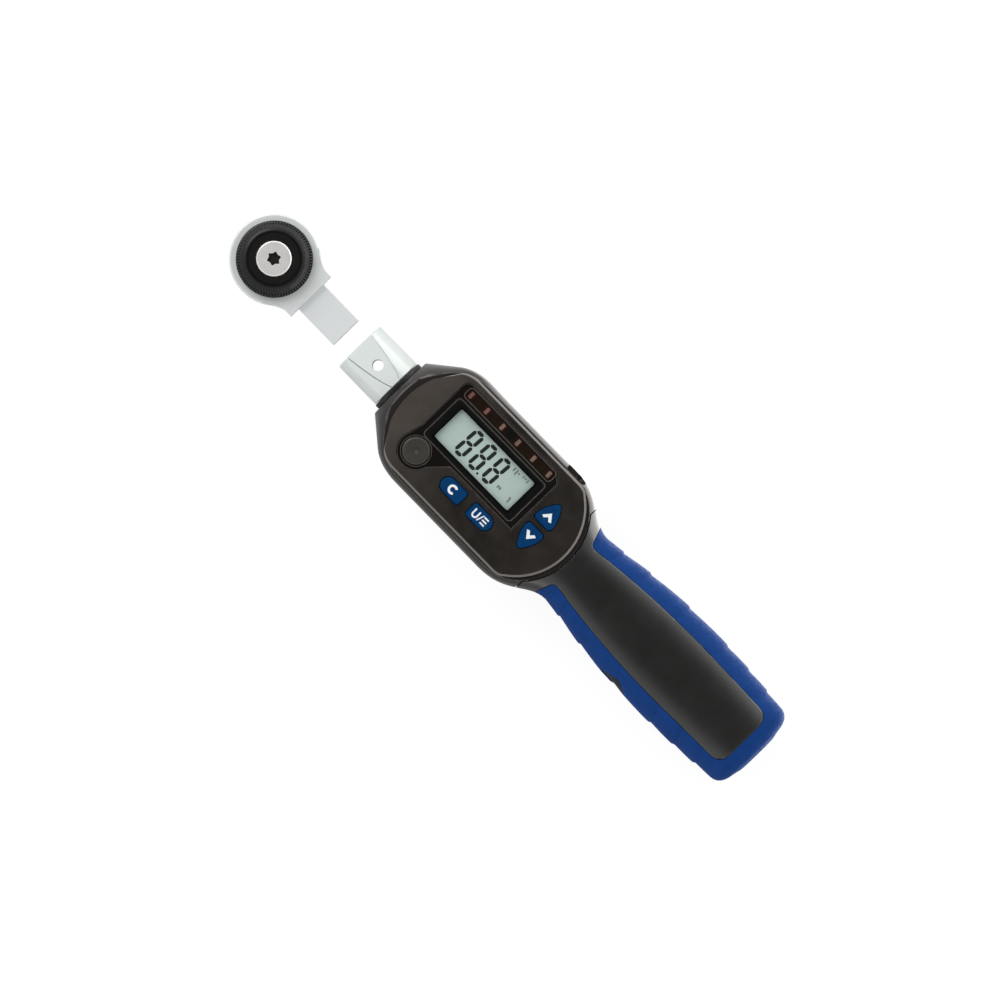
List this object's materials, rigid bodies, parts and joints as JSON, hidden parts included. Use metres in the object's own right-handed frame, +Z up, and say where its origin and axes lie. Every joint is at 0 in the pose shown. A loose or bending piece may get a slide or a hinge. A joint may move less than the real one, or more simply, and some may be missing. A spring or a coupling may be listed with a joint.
{
  "type": "torque wrench",
  "caption": "Digital torque wrench with a display housing, blue-edged handle and an insert ratchet head pulled out in front of its socket.",
  "frame": {"origin": "centre of the bounding box's bottom face: under the middle of the tool, on the plane its back rests on", "axes": "+X from the ratchet head to the handle end, +Y to the side of the light bar, +Z up out of the display"},
  "size_m": [0.251, 0.0472, 0.0329],
  "materials": {
    "holder_steel": "bright nickel-plated steel, fine turned finish",
    "head_steel": "satin chrome-plated forged steel",
    "drive_steel": "satin chrome",
    "bright_steel": "polished",
    "screw_steel": "satin disc with a pressed star recess",
    "dark_steel": "black oxide",
    "gauge_foil": "etched foil on backing",
    "seal_rubber": "matte",
    "housing_plastic": "smoky tinted, glossy",
    "cover_plastic": "smoky tinted, glossy, fine grain",
    "window_plastic": "smoky window, polished",
    "bezel_plastic": "black",
    "display_glass": "clear lens",
    "lcd_face": "pale grey-green display with dark segments",
    "light_bar_plastic": "dark brown translucent",
    "led_body": "milky",
    "board_green": "solder mask",
    "buzzer_black": "black can",
    "keypad_rubber": "silicone",
    "key_grey": "dark grey satin",
    "key_blue": "blue with white symbols",
    "handle_plastic": "charcoal, fine grain",
    "grip_blue": "blue soft grip, matte",
    "plug_rubber": "dark rubber",
    "battery_skin": "plain grey sleeve",
    "contact_brass": "nickel-tinted spring brass",
    "dial_black": "black satin, fine flutes"
  },
  "bodies": {
    "handle_body": {"holder_beam": "holder_steel", "strain_gauge_left": "gauge_foil", "strain_gauge_right": "gauge_foil", "front_seal": "seal_rubber", "housing_front": "housing_plastic", "housing_back": "housing_plastic", "case_screw_1": "dark_steel", "case_screw_2": "dark_steel", "case_screw_3": "dark_steel", "case_screw_4": "dark_steel", "front_cover": "cover_plastic", "window_panel": "window_plastic", "display_bezel": "bezel_plastic", "display_lens": "display_glass", "lcd_panel": "lcd_face", "light_bar_lens": "light_bar_plastic", "led_1": "led_body", "led_2": "led_body", "led_3": "led_body", "led_4": "led_body", "led_5": "led_body", "led_6": "led_body", "circuit_board": "board_green", "buzzer": "buzzer_black", "keypad": "keypad_rubber", "handle_front": "handle_plastic", "handle_back": "handle_plastic", "grip_sleeve": "grip_blue", "port_plug": "plug_rubber", "anchor_screw_1": "dark_steel", "anchor_screw_2": "dark_steel", "battery_left": "battery_skin", "battery_right": "battery_skin", "battery_contact_front": "contact_brass", "battery_contact_rear": "contact_brass"},
    "head": {"head_body": "head_steel", "catch_spring": "dark_steel", "catch_retainer": "bright_steel", "retaining_ring": "dark_steel", "pawl_pin": "bright_steel"},
    "drive": {"drive_gear": "drive_steel", "ball_spring": "dark_steel", "centre_screw": "screw_steel"},
    "ball": {"drive_ball": "bright_steel"},
    "dial": {"reversing_dial": "dial_black"},
    "pawl": {"pawl": "dark_steel"},
    "catch": {"catch_pin": "bright_steel"},
    "battery_door": {"battery_cover": "handle_plastic"},
    "round_key_cap": {"round_key": "key_grey"},
    "clear_key_cap": {"clear_key": "key_blue"},
    "unit_key_cap": {"unit_key": "key_blue"},
    "up_key_cap": {"up_key": "key_blue"},
    "down_key_cap": {"down_key": "key_blue"}
  },
  "joints": [
    {"name": "head_slide", "type": "slide", "parent": "handle_body", "child": "head", "axis": [1, 0, 0], "range_m": [0, 0.0234]},
    {"name": "drive_turn", "type": "hinge", "parent": "head", "child": "drive", "pos_m": [-0.1099, 0, 0.016], "axis": [0, 0, 1], "continuous": true},
    {"name": "ball_press", "type": "slide", "parent": "drive", "child": "ball", "axis": [1, 0, 0], "range_m": [0, 0.0006], "stiffness_N_per_m": 2000, "springref_m": -0.0005},
    {"name": "dial_turn", "type": "hinge", "parent": "head", "child": "dial", "pos_m": [-0.1099, 0, 0.016], "axis": [0, 0, 1], "range_deg": [0, 60]},
    {"name": "pawl_rock", "type": "hinge", "parent": "head", "child": "pawl", "pos_m": [-0.099, 0, 0.016], "axis": [0, 0, 1], "range_deg": [-12, 0]},
    {"name": "catch_press", "type": "slide", "parent": "head", "child": "catch", "axis": [0, 0, 1], "range_m": [0, 0.0016], "stiffness_N_per_m": 900, "springref_m": -0.001, "deforming": ["catch_spring"]},
    {"name": "battery_cover_lift", "type": "slide", "parent": "handle_body", "child": "battery_door", "axis": [0, 0, -1], "range_m": [0, 0.012]},
    {"name": "round_key_press", "type": "slide", "parent": "handle_body", "child": "round_key_cap", "axis": [0, 0, -1], "range_m": [0, 0.0008], "stiffness_N_per_m": 1500, "springref_m": -0.0003},
    {"name": "clear_key_press", "type": "slide", "parent": "handle_body", "child": "clear_key_cap", "axis": [0, 0, -1], "range_m": [0, 0.0008], "stiffness_N_per_m": 1500, "springref_m": -0.0003},
    {"name": "unit_key_press", "type": "slide", "parent": "handle_body", "child": "unit_key_cap", "axis": [0, 0, -1], "range_m": [0, 0.0008], "stiffness_N_per_m": 1500, "springref_m": -0.0003},
    {"name": "up_key_press", "type": "slide", "parent": "handle_body", "child": "up_key_cap", "axis": [0, 0, -1], "range_m": [0, 0.0008], "stiffness_N_per_m": 1500, "springref_m": -0.0003},
    {"name": "down_key_press", "type": "slide", "parent": "handle_body", "child": "down_key_cap", "axis": [0, 0, -1], "range_m": [0, 0.0008], "stiffness_N_per_m": 1500, "springref_m": -0.0003}
  ],
  "couplings": [
    {"joint": "pawl_rock", "follows": "dial_turn", "ratio": -0.2}
  ]
}
